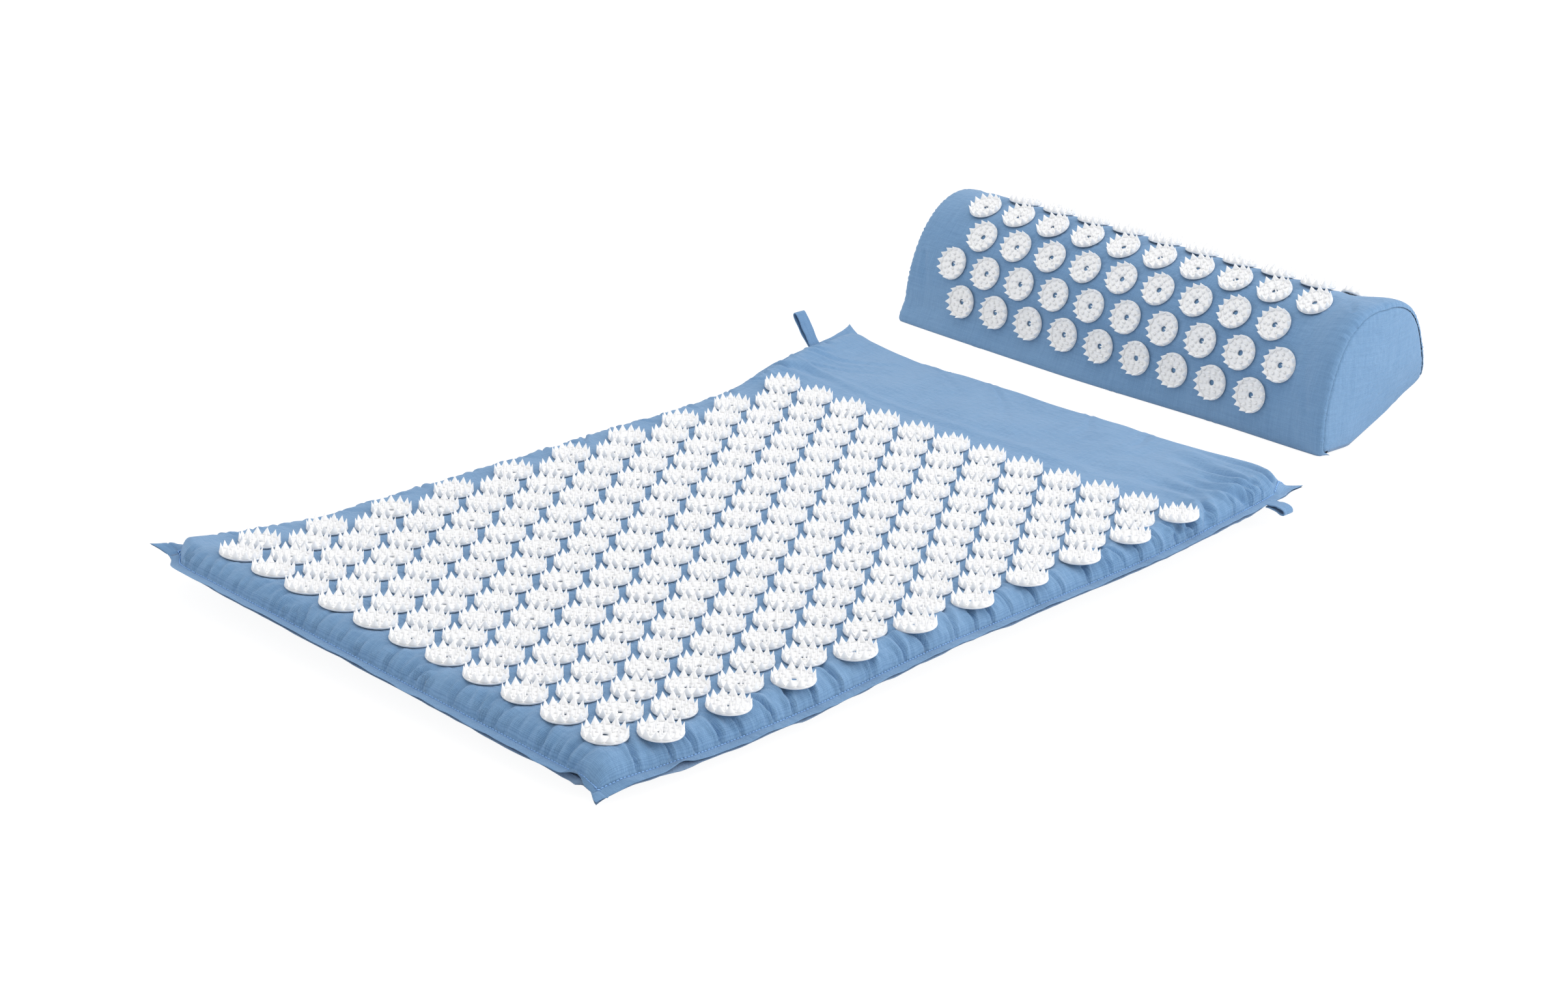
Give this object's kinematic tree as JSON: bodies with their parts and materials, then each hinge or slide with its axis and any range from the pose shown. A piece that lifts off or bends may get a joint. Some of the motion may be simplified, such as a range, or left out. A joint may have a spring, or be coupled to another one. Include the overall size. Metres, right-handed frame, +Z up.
{
  "type": "acupressure mat",
  "caption": "Padded acupressure mat with rows of round spiked discs and a matching half-round bolster pillow, with zipped covers and hanging loops.",
  "frame": {"origin": "on the floor, under the middle of the mat's disc pattern", "axes": "+Z up; +Y along the mat to its head end, where the pillow lies; +X to the mat's long side that faces the viewer of the picture"},
  "size_m": [0.4835, 0.9026, 0.1082],
  "materials": {
    "blue_cotton": "mid-blue plain-weave cotton, slightly puckered along its seams",
    "blue_underside_cotton": "the same blue cotton, a little greyer and darker underneath",
    "foam": "cream open-cell foam",
    "white_disc_plastic": "white moulded plastic with a soft gloss",
    "blue_zip_tape": "woven zip tape with a nylon coil chain",
    "painted_zip_metal": "die-cast metal painted to match the cover"
  },
  "bodies": {
    "mat": {"mat_foam_core": "foam", "mat_top_panel": "blue_cotton", "mat_bottom_panel": "blue_underside_cotton", "mat_disc_row_01": "white_disc_plastic", "mat_disc_row_02": "white_disc_plastic", "mat_disc_row_03": "white_disc_plastic", "mat_disc_row_04": "white_disc_plastic", "mat_disc_row_05": "white_disc_plastic", "mat_disc_row_06": "white_disc_plastic", "mat_disc_row_07": "white_disc_plastic", "mat_disc_row_08": "white_disc_plastic", "mat_disc_row_09": "white_disc_plastic", "mat_disc_row_10": "white_disc_plastic", "mat_disc_row_11": "white_disc_plastic", "mat_disc_row_12": "white_disc_plastic", "mat_disc_row_13": "white_disc_plastic", "mat_disc_row_14": "white_disc_plastic", "mat_disc_row_15": "white_disc_plastic", "mat_disc_row_16": "white_disc_plastic", "mat_disc_row_17": "white_disc_plastic", "mat_disc_row_18": "white_disc_plastic", "mat_disc_row_19": "white_disc_plastic", "mat_disc_row_20": "white_disc_plastic", "mat_zip_tape": "blue_zip_tape"},
    "mat_loop_left": {"mat_hanging_loop_left": "blue_cotton"},
    "mat_loop_right": {"mat_hanging_loop_right": "blue_cotton"},
    "mat_slider": {"mat_zip_slider": "painted_zip_metal"},
    "mat_pull": {"mat_zip_pull_tab": "painted_zip_metal"},
    "pillow": {"pillow_foam_core": "foam", "pillow_wrap_panel": "blue_cotton", "pillow_base_panel": "blue_underside_cotton", "pillow_end_panel_left": "blue_cotton", "pillow_end_panel_right": "blue_cotton", "pillow_disc_row_1": "white_disc_plastic", "pillow_disc_row_2": "white_disc_plastic", "pillow_disc_row_3": "white_disc_plastic", "pillow_disc_row_4": "white_disc_plastic", "pillow_disc_row_5": "white_disc_plastic", "pillow_disc_row_6": "white_disc_plastic", "pillow_disc_row_7": "white_disc_plastic", "pillow_zip_tape": "blue_zip_tape"},
    "pillow_slider": {"pillow_zip_slider": "painted_zip_metal"},
    "pillow_pull": {"pillow_zip_pull_tab": "painted_zip_metal"}
  },
  "joints": [
    {"name": "loop_left_swing", "type": "hinge", "parent": "mat", "child": "mat_loop_left", "pos_m": [-0.23043, 0.28019, 0.02259], "axis": [0, 1, 0], "range_deg": [-60, 12]},
    {"name": "loop_right_swing", "type": "hinge", "parent": "mat", "child": "mat_loop_right", "pos_m": [0.18588, 0.28019, 0.01325], "axis": [0, -1, 0], "range_deg": [-3, 90]},
    {"name": "mat_zip_travel", "type": "slide", "parent": "mat", "child": "mat_slider", "axis": [1, 0, 0], "range_m": [0, 0.224]},
    {"name": "mat_pull_swing", "type": "hinge", "parent": "mat_slider", "child": "mat_pull", "pos_m": [-0.142, 0.3332, 0.0112], "axis": [0, -1, 0], "range_deg": [0, 150]},
    {"name": "pillow_lift", "type": "slide", "parent": "mat", "child": "pillow", "axis": [0, 0, 1], "range_m": [0, 0.3]},
    {"name": "pillow_zip_travel", "type": "slide", "parent": "pillow", "child": "pillow_slider", "axis": [0.9981, -0.0621, 0], "range_m": [0, 0.268]},
    {"name": "pillow_pull_swing", "type": "hinge", "parent": "pillow_slider", "child": "pillow_pull", "pos_m": [-0.19839, 0.5597, 0.011], "axis": [-0.0621, -0.9981, 0], "range_deg": [0, 150]}
  ]
}
